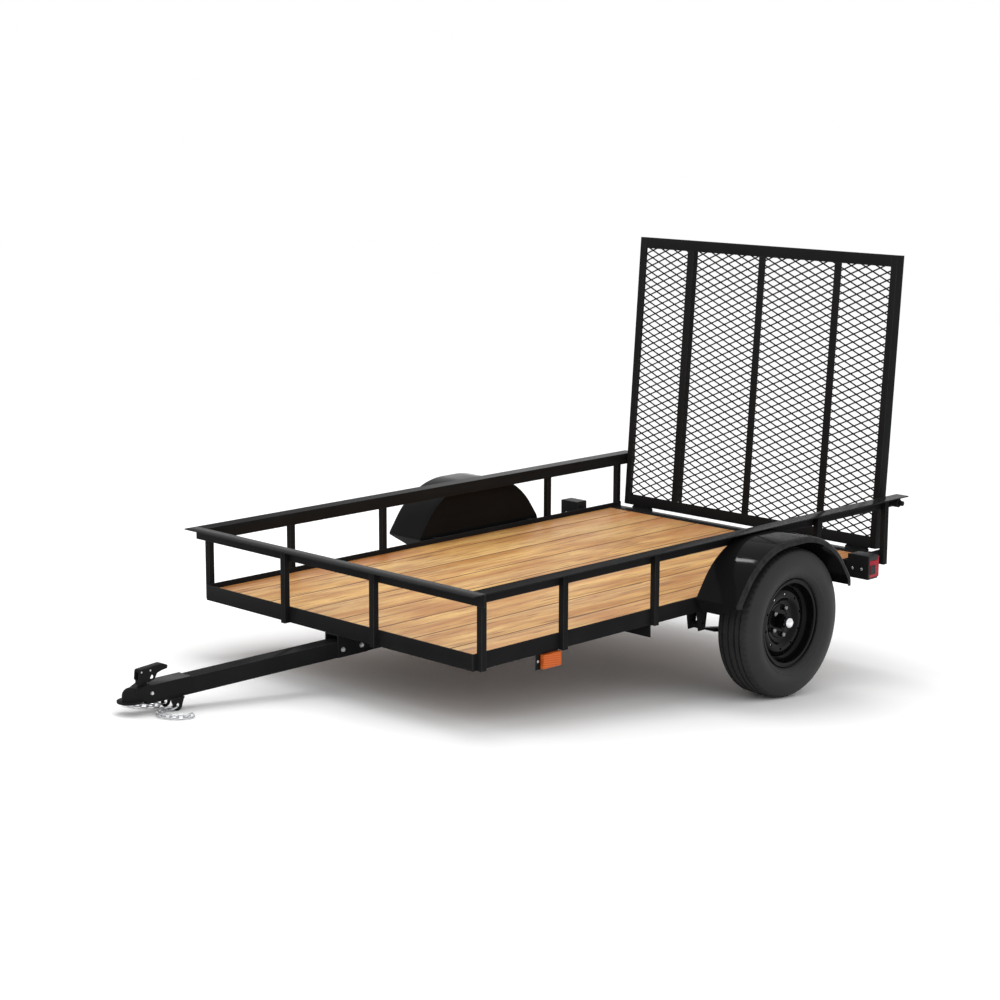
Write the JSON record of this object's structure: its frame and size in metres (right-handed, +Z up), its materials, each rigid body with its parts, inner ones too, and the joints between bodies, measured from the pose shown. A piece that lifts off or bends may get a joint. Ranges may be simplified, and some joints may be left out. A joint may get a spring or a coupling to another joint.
{
  "type": "utility trailer",
  "caption": "Utility trailer: plank deck in a low railed angle-iron frame, round-shouldered fenders, straight tongue with ball coupler, and an expanded-mesh ramp gate at the rear.",
  "frame": {"origin": "centre of the bounding box's underside, on the ground between the tyres and the coupler", "axes": "+X forward along the tongue, +Y to the left side, +Z up; the trailer rests nose down, unhitched"},
  "size_m": [3.5344, 1.994, 1.8053],
  "materials": {
    "black_paint": "gloss",
    "pine_boards": "satin",
    "tyre_rubber": "matte",
    "wheel_paint": "gloss",
    "hub_steel": "satin",
    "zinc_chain": "satin",
    "black_plastic": "matte",
    "red_lens": "gloss",
    "amber_lens": "gloss"
  },
  "bodies": {
    "chassis": {"frame_side_left": "black_paint", "frame_side_right": "black_paint", "frame_front": "black_paint", "frame_rear": "black_paint", "joists": "black_paint", "deck_boards": "pine_boards", "rail_front": "black_paint", "rail_left": "black_paint", "rail_right": "black_paint", "posts_left": "black_paint", "posts_right": "black_paint", "posts_front": "black_paint", "tongue": "black_paint", "tongue_seat": "black_paint", "tail_member": "black_paint", "coupler": "black_paint", "coupler_latch": "black_paint", "chain_ears": "black_paint", "axle": "black_paint", "springs": "black_paint", "spring_clamps": "black_paint", "spring_hangers": "black_paint", "fender_left": "black_paint", "fender_right": "black_paint", "fender_brackets": "black_paint", "lamp_housings": "black_plastic", "lamp_lenses": "red_lens", "lamp_brackets": "black_paint", "marker_lenses": "amber_lens", "hinge_leaves": "black_paint", "gate_latches": "black_paint", "chain_left": "zinc_chain", "chain_right": "zinc_chain"},
    "gate": {"gate_side_left": "black_paint", "gate_side_right": "black_paint", "gate_bottom_bar": "black_paint", "gate_top_bar": "black_paint", "gate_ribs": "black_paint", "gate_mesh_rising": "black_paint", "gate_mesh_falling": "black_paint", "gate_knuckles": "black_paint"},
    "wheel_left": {"tyre_left": "tyre_rubber", "rim_left": "wheel_paint", "hub_left": "hub_steel", "wheel_nuts_left": "hub_steel"},
    "wheel_right": {"tyre_right": "tyre_rubber", "rim_right": "wheel_paint", "hub_right": "hub_steel", "wheel_nuts_right": "hub_steel"}
  },
  "joints": [
    {"name": "wheel_left_spin", "type": "hinge", "parent": "chassis", "child": "wheel_left", "pos_m": [-0.79143, 0.897, 0.305], "axis": [0, 1, 0], "continuous": true},
    {"name": "wheel_right_spin", "type": "hinge", "parent": "chassis", "child": "wheel_right", "pos_m": [-0.79143, -0.897, 0.305], "axis": [0, 1, 0], "continuous": true},
    {"name": "gate_fold", "type": "hinge", "parent": "chassis", "child": "gate", "pos_m": [-1.71014, 0, 0.51173], "axis": [0, -1, 0], "range_deg": [0, 112]}
  ]
}
